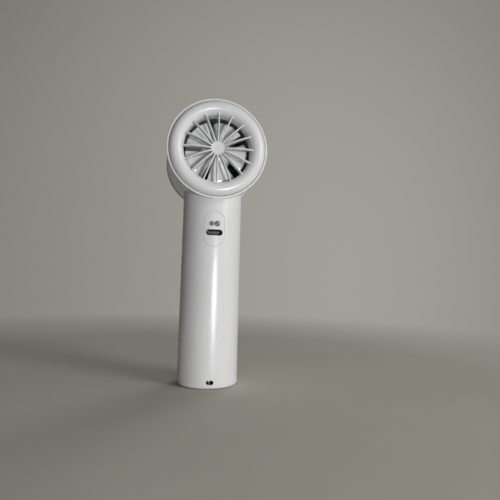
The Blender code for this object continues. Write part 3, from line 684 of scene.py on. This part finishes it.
def make_housing(mats):
    """One moulding: the handle's tube and the drum, open at both ends and at the base."""
    fillet = arc((HANDLE_RADIUS - BASE_FILLET, BASE_FILLET), BASE_FILLET, 0, -90, 12)
    outside = [(0, HANDLE_TOP), (handle_radius(HANDLE_TOP), HANDLE_TOP)] + fillet + [(0, 0)]
    housing = turned("housing_shell", outside, IDENTITY, ROUND)

    step = LIP_FACE - LIP_WIDTH
    half = [(LIP_RADIUS, LIP_FACE), (LIP_RADIUS, step), (DRUM_RADIUS, step - LIP_STEP)]
    outline = [(0, LIP_FACE)] + half + [(r, -h) for r, h in reversed(half)] + [(0, -LIP_FACE)]
    drum = turned("drum_block", rounded(outline, 0.32), HEAD, DRUM_ROUND)
    past = LIP_FACE + 1
    seat = RING_OUTER + 0.05
    chamfer = 0.14
    mouth = [(DRUM_BORE + 0.5, past), (DRUM_BORE + chamfer, LIP_FACE + 0.02),
             (DRUM_BORE, LIP_FACE - chamfer), (DRUM_BORE, LIP_FACE - 1.4), (seat, LIP_FACE - 1.6),
             (seat, SKIRT_END - 0.6), (DRUM_BORE, SKIRT_END - 0.8)]
    bore = ([(0, past)] + mouth + [(DRUM_BORE, WEB_HALF), (WEB_RADIUS, WEB_HALF),
            (WEB_RADIUS, -WEB_HALF), (DRUM_BORE, -WEB_HALF)]
            + [(r, -h) for r, h in reversed(mouth)] + [(0, -past)])
    drum_bore = turned("drum_bore", bore, HEAD, DRUM_ROUND)
    handle_bore = rod("handle_bore", BORE_RADIUS, -1, HEAD_Z - WEB_RADIUS - 2.5, at(turn=1.1), ROUND)
    join(housing, drum)
    cut(housing, drum_bore, handle_bore)

    window = plate("panel_window", [stadium(PANEL_WIDTH + 2 * SEAM, PANEL_HEIGHT + 2 * SEAM)],
                   DRILL_FROM, DRILL_TO, at(0, 0, PANEL_Z, 90, "X"))
    button_hole = rod("button_hole", BEZEL_RADIUS + 2 * SEAM, DRILL_FROM, DRILL_TO,
                      at(0, 0, BUTTON_Z, -90, "X") @ at(turn=1.7), 72)
    slot = plate("lanyard_slot", [stadium(SLOT_WIDTH, SLOT_HEIGHT, 10)], DRILL_FROM, DRILL_TO,
                 at(0, 0, SLOT_Z, 90, "X"))
    cut(housing, window, button_hole, slot)
    soften(housing, 0.12)
    finish_piece(housing, mats["housing_white"], "fan_body", "housing_white", "main_housing")
    true_normals(housing, handle_normal, drum_normal)


def nose_profile(crest, tube_end):
    """Section of an end ring: skirt, rounded nose with its highest point at crest, inner tube."""
    centre = (NOSE_CENTRE, crest - NOSE_RADIUS)
    start = math.degrees(math.acos((RING_OUTER - NOSE_CENTRE) / NOSE_RADIUS))
    inside = NOSE_RADIUS - NOSE_WALL
    section = [(RING_OUTER, SKIRT_END)] + arc(centre, NOSE_RADIUS, start, 180, 40)
    section += rounded([section[-1], (NOSE_CENTRE - NOSE_RADIUS, tube_end),
                        (NOSE_CENTRE - inside, tube_end), (NOSE_CENTRE - inside, centre[1])], 0.3)[1:-1]
    section += arc(centre, inside, 180, 0, 16) + [(NOSE_CENTRE + inside, SKIRT_END)]
    return section[::-1]


def fin_section(radius, angle, face, depth, thick):
    """Ring of points around an upright fin: round outer edge, square inner edge."""
    half = thick / 2
    lead = [(half * math.cos(a), face - half + half * math.sin(a))
            for a in (math.radians(180 * i / 8) for i in range(9))]
    side = lead + [(-half, face - depth + 0.1), (-half + 0.1, face - depth),
                   (half - 0.1, face - depth), (half, face - depth + 0.1)]
    turn = math.radians(angle)
    along = (math.cos(turn), math.sin(turn))
    across = (-math.sin(turn), math.cos(turn))
    return [(radius * along[0] + u * across[0], radius * along[1] + u * across[1], h) for u, h in side]


def make_fin(name, angle):
    """Intake fin: arched towards the front, thicker where it meets the hub and the ring."""
    steps = 26
    arch = (REACH - HUB_FACE + 0.1) * 0.93
    sections = []
    for i in range(steps + 1):
        t = i / steps
        radius = FIN_START + (FIN_END - FIN_START) * t
        chord = HUB_FACE - 0.3 + (FIN_END_FACE - HUB_FACE + 0.3) * t
        face = chord + arch * math.sin(math.pi * t) ** 0.9
        root = 0.5 * max(0.0, (t - 0.93) / 0.07) ** 2 + 0.10 * max(0.0, (0.2 - t) / 0.2)
        sections.append(fin_section(radius, angle, face, FIN_DEPTH + 1.1 * (1 - t), FIN_THICK + root))
    return loft(name, sections, HEAD)


def make_intake_cover(mats):
    """Rounded intake ring with its guard of radial fins and their hub, in one moulding."""
    crest = REACH - 0.4
    cover = turned("intake_ring", nose_profile(crest, DUCT_FRONT + 1.8), HEAD, DRUM_ROUND)
    outline = [(0, HUB_FACE), (HUB_RADIUS, HUB_FACE - 0.05), (HUB_RADIUS, HUB_FACE - HUB_DEPTH),
               (0, HUB_FACE - HUB_DEPTH)]
    hub = turned("guard_hub", rounded(outline, 0.45), HEAD @ at(turn=0.7), 96)
    fins = [make_fin(f"fin_{i + 1}", 360 * i / FIN_COUNT) for i in range(FIN_COUNT)]
    join(hub, *fins)
    join(cover, hub)
    soften(cover, 0)
    finish_piece(cover, mats["housing_white"], "fan_body", "housing_white", "intake_cover", sharp=50)


def make_outlet_cover(mats):
    """Rounded outlet ring with straight ribs and the tail cone that covers the motor's cup."""
    cover = turned("outlet_ring", nose_profile(REACH, -DUCT_REAR + RING_GAP), OUTLET, DRUM_ROUND)
    face = REACH - 1.8
    side = MOTOR_RADIUS - 0.4
    outline = ([(0, face)] + arc((side - 3, face - 3.05), 3, 88, 0, 14)
               + [(side, face - 3.6), (0, face - 3.6)])
    cone = turned("tail_cone", outline, OUTLET @ at(turn=0.6), 128)
    steps = 12
    ribs = []
    for i in range(RIB_COUNT):
        angle = 360 * i / RIB_COUNT
        sections = []
        for k in range(steps + 1):
            t = k / steps
            radius = MOTOR_RADIUS - 2 + (FIN_END - MOTOR_RADIUS + 2) * t
            root = 0.35 * max(0.0, (t - 0.9) / 0.1) ** 2
            sections.append(fin_section(radius, angle, face - 0.2, RIB_DEPTH, RIB_THICK + root))
        ribs.append(loft(f"rib_{i + 1}", sections, OUTLET))
    join(cone, *ribs)
    join(cover, cone)
    soften(cover, 0)
    finish_piece(cover, mats["housing_white"], "fan_body", "housing_white", "outlet_cover", sharp=50)


def make_port_panel(mats):
    """Capsule-shaped insert around the port and the lights, flush with the handle."""
    low, high = PANEL_Z - PANEL_HEIGHT, PANEL_Z + PANEL_HEIGHT
    wall = [(handle_radius(high), high), (handle_radius(low), low),
            (PANEL_INNER, low), (PANEL_INNER, high)]
    panel = turned("panel_insert", wall, IDENTITY, 256)
    inside, outside = BORE_RADIUS - 5, HANDLE_RADIUS + 3
    shape = plate("panel_shape", [stadium(PANEL_WIDTH, PANEL_HEIGHT)], inside, DRILL_TO,
                  at(0, 0, PANEL_Z, 90, "X"))
    boolean(panel, "INTERSECT", [shape])
    port = plate("port_hole", [stadium(PORT_WIDTH, PORT_HEIGHT, 14)], inside, outside,
                 at(0, 0, PORT_Z, 90, "X"))
    cut(panel, port)
    for side, x, radius in LIGHTS:
        cut(panel, rod(f"light_hole_{side}", radius + 0.12, inside, outside,
                       at(x, 0, LIGHT_Z, 90, "X") @ at(turn=2.3), 48))
    soften(panel, 0.1)
    finish_piece(panel, mats["housing_white"], "fan_body", "housing_white", "port_panel")
    true_normals(panel, handle_normal)


def make_base_screw(number, place, mats):
    """Pan-head screw with a cross recess, point up the placement's Z axis."""
    name = f"foot_screw_{number}"
    edge = 0.35
    turns = int((SCREW_LENGTH - SCREW_HIGH) / SCREW_RISE) - 2
    thread = [(SCREW_SHANK - SCREW_THREAD * (i % 2), SCREW_HIGH + SCREW_RISE * i) for i in range(1, turns)]
    profile = ([(0, 0)] + arc((SCREW_HEAD - edge, edge), edge, -90, 0, 6)
               + [(SCREW_HEAD, SCREW_HIGH), (SCREW_SHANK, SCREW_HIGH)] + thread + [(0, SCREW_LENGTH)])
    screw = turned(name, profile, place, 40)
    half, reach = 0.26, SCREW_HEAD * 0.55
    for turn in (20, 110):
        cut(screw, box(name + "_recess", (-half, -reach, -0.3), (half, reach, SCREW_HIGH * 0.6),
                       place @ at(turn=turn)))
    soften(screw, 0)
    finish_piece(screw, mats["screw_steel"], "fan_body", "screw_steel", f"base_screw_{number}", sharp=40)


def make_base(mats):
    """Base cap with its lanyard pocket and foot ring, the two screws and the lanyard bar."""
    wall = CAP_RADIUS - CAP_WALL
    profile = [(0, 0), (CAP_RADIUS, 0), (CAP_RADIUS, CAP_TOP), (wall, CAP_TOP), (wall, CAP_PLATE),
               (0, CAP_PLATE)]
    cap = turned("base_plate", rounded(profile, 0.3), IDENTITY, 128)
    pocket = 3.2
    cut(cap, box("lanyard_pocket", (-pocket, -CAP_RADIUS - 1, CAP_PLATE),
                 (pocket, -CAP_RADIUS + 3, CAP_TOP + 1)))
    inner, outer, depth = 12.6, 12.9, 0.25
    groove = turned("base_groove", [(inner, depth), (outer, depth), (outer, -1), (inner, -1)],
                    IDENTITY, 128)
    cut(cap, groove)
    for number, x in enumerate((-BASE_SCREW_X, BASE_SCREW_X), 1):
        cut(cap, rod(f"base_hole_{number}", 1.2, -1, CAP_PLATE + 1, at(x), 32),
            rod(f"base_recess_{number}", 2.4, -1, 1.15, at(x), 48))
        make_base_screw(number, at(x, 0, 0.25), mats)
    soften(cap, 0.15)
    finish_piece(cap, mats["housing_white"], "fan_body", "housing_white", "base_cap")
    low, high = extent("lanyard_bar")
    bar = rod("lanyard_pin", (high[0] - low[0]) / 2, low[2], high[2],
              at(0, (low[1] + high[1]) / 2), 48, 0.15)
    finish_piece(bar, mats["screw_steel"], "fan_body", "screw_steel", "lanyard_bar")


# ---------------------------------------------------------------- air path

def wing(name, radii, place, wrap, heights, thick, bow=0.0, curve=1.0, root=0.0, steps=14, chords=16):
    """A helical wing around the head's axis, with a rounded nose and a thin tail.

    It goes from the inner to the outer of the radii, and from the front to the rear height; place
    and wrap are degrees about the axis, root is how far the nose reaches in past the inner radius.
    """
    front, rear = heights
    sections = []
    for i in range(steps + 1):
        along = i / steps
        nose = front - 0.3 * max(0.0, (along - 0.8) / 0.2) ** 2
        fillet = 1 + 0.5 * max(0.0, 1 - along / 0.12)
        line = []
        for k in range(chords + 1):
            chord = (1 - math.cos(math.pi * k / chords)) / 2
            inner = radii[0] - root * (1 - chord) ** BLADE_ROOT_CURVE
            radius = inner + (radii[1] - inner) * along
            turn = math.radians(place + wrap * (chord - 0.5) + bow * math.sin(math.pi * chord))
            body = thick * (1.0 - 0.6 * chord) * (0.45 + 0.55 * min(1.0, math.sqrt(chord / 0.1)))
            line.append((radius, turn, nose + (rear - nose) * chord ** curve, body * fillet / 2))
        upper, lower = [], []
        for k, (radius, turn, height, half) in enumerate(line):
            before, after = line[max(k - 1, 0)], line[min(k + 1, chords)]
            run = Vector((radius * (after[1] - before[1]), after[2] - before[2])).normalized()
            for side, face in ((half, upper), (-half, lower)):
                bent = turn - run.y * side / radius
                face.append((radius * math.cos(bent), radius * math.sin(bent), height + run.x * side))
        sections.append(upper + lower[::-1])
    return loft(name, sections, HEAD)


def make_impeller(mats):
    """Turbine wheel: domed hub with five broad polished blades."""
    rise = HUB_NOSE - HUB_SHOULDER
    outside = [(MOTOR_RADIUS * abs(x) ** HUB_ROUND, HUB_SHOULDER + rise * abs(y) ** HUB_ROUND)
               for x, y in arc((0, 0), 1, 90, 0, 28)]
    outside[0] = (0, HUB_NOSE)
    outside.append((MOTOR_RADIUS, HUB_REAR))
    inside = [(CUP_INNER, HUB_REAR), (CUP_INNER, 0.0), (CUP_INNER - 0.2, HUB_FLOOR),
              (SHAFT_RADIUS, HUB_FLOOR), (SHAFT_RADIUS, SHAFT_TOP), (0, SHAFT_TOP)]
    wheel = turned("turbine_wheel", outside + inside, HEAD @ at(turn=0.9), 120)
    blades = []
    for i in range(BLADE_COUNT):
        place = 360 * i / BLADE_COUNT + BLADE_PHASE
        blades.append(wing(f"blade_{i + 1}", (MOTOR_RADIUS - 0.7, BLADE_TIP), place, BLADE_WRAP,
                           (BLADE_FRONT, BLADE_REAR), BLADE_THICK, BLADE_BOW, BLADE_CURVE, BLADE_ROOT))
    join(wheel, together("blades", blades))
    soften(wheel, 0)
    finish_piece(wheel, mats["impeller_white"], "rotor", "impeller_white", "impeller", sharp=45)


def make_duct(mats):
    """Sleeve, guide vanes and motor cup in one moulding, coloured dark grey to darken the view into the
    duct.
    """
    sleeve = [(DUCT_OUTER, DUCT_FRONT), (DUCT_OUTER, FLANGE_FRONT), (FLANGE_RADIUS, FLANGE_FRONT),
              (FLANGE_RADIUS, FLANGE_REAR), (DUCT_OUTER, FLANGE_REAR), (DUCT_OUTER, DUCT_REAR),
              (DUCT_INNER, DUCT_REAR), (DUCT_INNER, DUCT_FRONT)]
    duct = turned("duct_sleeve", rounded(sleeve, 0.25, closed=True), HEAD, 128)
    cup_outline = [(MOTOR_RADIUS, CUP_FRONT), (MOTOR_RADIUS, CUP_REAR), (CUP_INNER, CUP_REAR),
                   (CUP_INNER, CUP_WEB_REAR), (MOTOR_HOLE, CUP_WEB_REAR), (MOTOR_HOLE, CUP_WEB_FRONT),
                   (CUP_INNER, CUP_WEB_FRONT), (CUP_INNER, CUP_FRONT)]
    cup = turned("motor_cup", rounded(cup_outline, 0.25, closed=True), HEAD @ at(turn=0.8), 112)
    vanes = [wing(f"vane_{i + 1}", (MOTOR_RADIUS - 0.5, DUCT_INNER + 0.7), 360 * i / VANE_COUNT,
                  VANE_WRAP, (VANE_FRONT, VANE_REAR), VANE_THICK, steps=8, chords=10)
             for i in range(VANE_COUNT)]
    join(duct, cup, together("vanes", vanes))
    # The solver refuses every cut below, so the slot and the screw holes don't show in the visual.
    slot = plate("lead_slot", [stadium(5.4, 2.2, 8)], DUCT_INNER - 1, DUCT_OUTER + 1,
                 HEAD @ at(0, 0, LEAD_SLOT_HEIGHT) @ at(turn=90, axis="X"))
    cut(duct, slot)
    for angle in BOLT_ANGLES:
        cut(duct, rod(f"flange_hole_{angle}", 1.1, FLANGE_REAR - 1, FLANGE_FRONT + 1,
                      HEAD @ at(*polar(BOLT_CIRCLE, angle)), 32))
    for angle in (90, 210, 330):
        cut(duct, rod(f"motor_hole_{angle}", 0.9, CUP_WEB_REAR - 1, CUP_WEB_FRONT + 1,
                      HEAD @ at(*polar(MOTOR_SCREW_CIRCLE, angle)), 32))
    soften(duct, 0)
    finish_piece(duct, mats["duct_dark"], "fan_body", "duct_dark", "duct_stator", sharp=45)


def smooth_route(points, steps):
    """Catmull-Rom curve through the route's points."""
    padded = [points[0]] + points + [points[-1]]
    route = []
    for before, start, end, after in zip(padded, padded[1:], padded[2:], padded[3:]):
        before, start, end, after = (Vector(p) for p in (before, start, end, after))
        for i in range(steps):
            t = i / steps
            route.append(0.5 * (2 * start + (end - before) * t
                                + (2 * before - 5 * start + 4 * end - after) * t ** 2
                                + (3 * start - before - 3 * end + after) * t ** 3))
    return route + [Vector(points[-1])]


def make_motor_leads(mats):
    """The motor's two leads: out of the cup, down past the duct and into the handle."""
    below_axis = [(5.2, 7.7), (5.4, 11.0), (6.3, 14.0), (8.6, 15.9), (13.0, 15.9), (17.5, 15.9),
                  (21.0, 15.7), (23.0, 13.4), (26.0, 11.0), (30.0, 9.9), (33.5, 9.6)]
    side = Vector((1, 0, 0))
    for number, (x, slot) in enumerate(((-0.8, "lead_red"), (0.8, "lead_black")), 1):
        route = smooth_route([(x, back, HEAD_Z - drop) for drop, back in below_axis], 6)
        sections = []
        for i, spot in enumerate(route):
            ahead = (route[min(i + 1, len(route) - 1)] - route[max(i - 1, 0)]).normalized()
            up = ahead.cross(side)
            sections.append([spot + side * dx + up * dy for dx, dy in circle(LEAD_RADIUS, 14)])
        lead = loft(f"motor_wire_{number}", sections)
        finish_piece(lead, mats[slot], "fan_body", slot, f"motor_lead_{number}")


def make_seal(mats):
    """Rubber ring between the intake's tube and the duct."""
    low, high = extent("intake_seal")
    inner = DUCT_INNER + 0.1
    outline = [(DUCT_OUTER, -low[1]), (DUCT_OUTER, -high[1]), (inner, -high[1]), (inner, -low[1])]
    seal = turned("throat_seal", rounded(outline, 0.3, closed=True), HEAD, 128)
    finish_piece(seal, mats["seal_rubber"], "fan_body", "seal_rubber", "intake_seal")


# ---------------------------------------------------------------- port, lights, button

def make_port(mats):
    """Charging socket: dark metal shell, black back, tongue with a row of contacts on each face."""
    place = at(0, 0, PORT_Z, 90, "X")
    width, height = PORT_HIGH[0] - PORT_LOW[0], PORT_HIGH[2] - PORT_LOW[2]
    inner_width, inner_height = width - 2 * SOCKET_WALL, height - 2 * SOCKET_WALL
    shell = plate("socket_shell", [stadium(width, height, 16), stadium(inner_width, inner_height, 16)],
                  -PORT_HIGH[1], -PORT_LOW[1], place)
    soften(shell, 0.08, segments=2)
    finish_piece(shell, mats["port_steel"], "fan_body", "port_steel", "port_shell")
    low, high = extent("port_tongue")
    tongue = box("socket_tongue", low, high, IDENTITY, 0.12)
    finish_piece(tongue, mats["port_black"], "fan_body", "port_black", "port_tongue")
    back = plate("socket_back", [stadium(inner_width - 0.1, inner_height - 0.1, 12)],
                 -high[1] + 0.1, -high[1] + 0.6, place)
    finish_piece(back, mats["black_plastic"], "fan_body", "port_black")
    half, raised = 0.13, 0.03
    for i in range(CONTACT_COUNT):
        x = (i - (CONTACT_COUNT - 1) / 2) * CONTACT_PITCH
        for face, z in (("top", high[2]), ("under", low[2])):
            pad = box(f"contact_{face}_{i + 1}", (x - half, low[1] + 0.35, z - raised),
                      (x + half, low[1] + 3.2, z + raised), IDENTITY, 0.02, 1)
            finish_piece(pad, mats["motor_brass"], "fan_body", "port_steel")


def make_lights(mats):
    """Two round charge lights: clear rods with slightly domed ends, a chip behind each."""
    for side, x, radius in LIGHTS:
        low, high = extent(f"light_pipe_{side}")
        place = at(x, 0, LIGHT_Z, 90, "X")
        profile = [(0, -low[1]), (radius * 0.6, -low[1] - 0.05), (radius, -low[1] - 0.3),
                   (radius, -high[1]), (0, -high[1])]
        pipe = turned(f"light_window_{side}", rounded(profile, 0.25), place, 64)
        finish_piece(pipe, mats["light_clear"], "fan_body", "light_clear", f"light_pipe_{side}")
        low, high = extent(f"charge_led_{side}")
        chip = box(f"lamp_chip_{side}", low, high, IDENTITY, 0.08)
        finish_piece(chip, mats["button_white"], "fan_body", "light_clear", f"charge_led_{side}")


def make_button(mats):
    """Power button, dished, in its grey bezel."""
    back = at(0, 0, BUTTON_Z, -90, "X")
    edge = BUTTON_FACE - 0.5
    bezel_outline = [(BEZEL_INNER, edge), (BEZEL_INNER + 0.5, BUTTON_FACE),
                     (BEZEL_RADIUS - 0.4, BUTTON_FACE), (BEZEL_RADIUS, edge),
                     (BEZEL_RADIUS, BEZEL_BACK), (BEZEL_INNER, BEZEL_BACK)]
    bezel = turned("button_ring", rounded(bezel_outline, 0.3, closed=True), back, 96)
    finish_piece(bezel, mats["trim_grey"], "fan_body", "trim_grey", "button_bezel")
    steps = 12
    dish = [(DISH_RADIUS * i / steps, BUTTON_FACE - DISH_DEPTH + DISH_DEPTH * (i / steps) ** 2.2)
            for i in range(steps + 1)]
    outline = dish + [(KEY_RADIUS, BUTTON_FACE - 0.35), (KEY_RADIUS, KEY_BACK), (KEY_FLANGE, KEY_BACK),
                      (KEY_FLANGE, KEY_FLANGE_BACK), (KEY_STEM, KEY_FLANGE_BACK),
                      (KEY_STEM, KEY_STEM_BACK), (0, KEY_STEM_BACK)]
    button = turned("power_key", rounded(outline, 0.25), back, 96)
    finish_piece(button, mats["button_white"], "button", "button_white", "power_button")


# ---------------------------------------------------------------- stage, light and camera

def make_floor():
    """Warm grey floor that fades into the surroundings, just below the base."""
    bm = bmesh.new()
    bmesh.ops.create_circle(bm, cap_ends=True, segments=96, radius=3.0)
    bmesh.ops.translate(bm, vec=(0, 0, -0.2 * MM), verts=bm.verts)
    floor = from_bmesh("floor", bm)
    n = Nodes("floor_pale")
    tone = n.mix(n.span(n.noise(9, 4, 0.6, 0.4), 0.3, 0.7, 0, 1), (0.60, 0.575, 0.52), (0.57, 0.545, 0.49))
    n.link(tone, n.shader.inputs["Base Color"])
    n.link(n.span(n.noise(24, 3), 0.3, 0.7, 0.85, 0.95), n.shader.inputs["Roughness"])
    n.set(Specular_IOR_Level=0.1)
    distance = n.add("VectorMath", operation="LENGTH")
    n.link(n.place, distance.inputs[0])
    n.link(n.span(distance.outputs["Value"], 0.2, 0.46, 1.0, 0.0), n.shader.inputs["Alpha"])
    floor.data.materials.append(n.material)


def sky_ramp(tree, source, low_in, high_in, low_out, high_out):
    """Smooth step from one strength to another along one direction."""
    node = tree.nodes.new("ShaderNodeMapRange")
    node.interpolation_type = "SMOOTHSTEP"
    for key, number in (("From Min", low_in), ("From Max", high_in),
                        ("To Min", low_out), ("To Max", high_out)):
        node.inputs[key].default_value = number
    tree.links.new(source, node.inputs["Value"])
    return node.outputs["Result"]


def make_world():
    """Grey surroundings, darkest in front and on the left, palest behind on the right."""
    world = bpy.data.worlds.new("studio")
    bpy.context.scene.world = world
    world.use_nodes = True
    tree = world.node_tree
    sky = tree.nodes["Background"]
    sky.inputs["Color"].default_value = (0.47, 0.455, 0.41, 1)
    place = tree.nodes.new("ShaderNodeTexCoord")
    parts = tree.nodes.new("ShaderNodeSeparateXYZ")
    tree.links.new(place.outputs["Generated"], parts.inputs[0])
    total = tree.nodes.new("ShaderNodeMath")
    tree.links.new(sky_ramp(tree, parts.outputs["X"], -0.7, 0.6, 0.06, 0.42), total.inputs[0])
    tree.links.new(sky_ramp(tree, parts.outputs["Y"], 0.5, 1.0, 0.0, 0.4), total.inputs[1])
    tree.links.new(total.outputs[0], sky.inputs["Strength"])


def area_light(name, place, target, size, watts, colour):
    """Round lamp that faces its target; places and size are metres."""
    data = bpy.data.lights.new(name, "AREA")
    data.shape = "DISK"
    data.size = size
    data.energy = watts
    data.color = colour
    light = bpy.data.objects.new(name, data)
    bpy.context.scene.collection.objects.link(light)
    light.location = place
    light.rotation_euler = (Vector(target) - Vector(place)).to_track_quat("-Z", "Y").to_euler()


def make_lighting():
    middle = (0, 0, 0.08)
    area_light("key_front", (0.10, -0.45, 0.03), middle, 0.07, 0.9, (0.98, 0.99, 1.0))
    area_light("soft_right", (0.8, -0.7, 0.5), middle, 0.5, 3.7, (1.0, 0.99, 0.98))
    area_light("rear_fill", (0.6, 0.8, 0.6), middle, 0.6, 2.2, (1.0, 1.0, 1.0))


def make_camera():
    data = bpy.data.cameras.new("camera")
    data.lens = CAMERA_LENS
    data.sensor_width = CAMERA_SENSOR
    data.clip_start = 0.01
    camera = bpy.data.objects.new("camera", data)
    bpy.context.scene.collection.objects.link(camera)
    camera.location = Vector(CAMERA_PLACE) * MM
    camera.rotation_euler = [math.radians(a) for a in CAMERA_TURN]
    bpy.context.scene.camera = camera


def dress_cad_nodes(mats):
    """Every CAD node that stays takes the material of its slot."""
    for part in frame["record"]["subparts"]:
        node = frame["nodes"][part["node"]]
        node.data.materials.clear()
        node.data.materials.append(mats[part["material_slot"]])


bpy.context.scene.view_settings.view_transform = "Standard"
MATS = make_materials()
dress_cad_nodes(MATS)
make_housing(MATS)
make_intake_cover(MATS)
make_outlet_cover(MATS)
make_port_panel(MATS)
make_base(MATS)
make_impeller(MATS)
make_duct(MATS)
make_motor_leads(MATS)
make_seal(MATS)
make_port(MATS)
make_lights(MATS)
make_button(MATS)
make_floor()
make_world()
make_lighting()
make_camera()
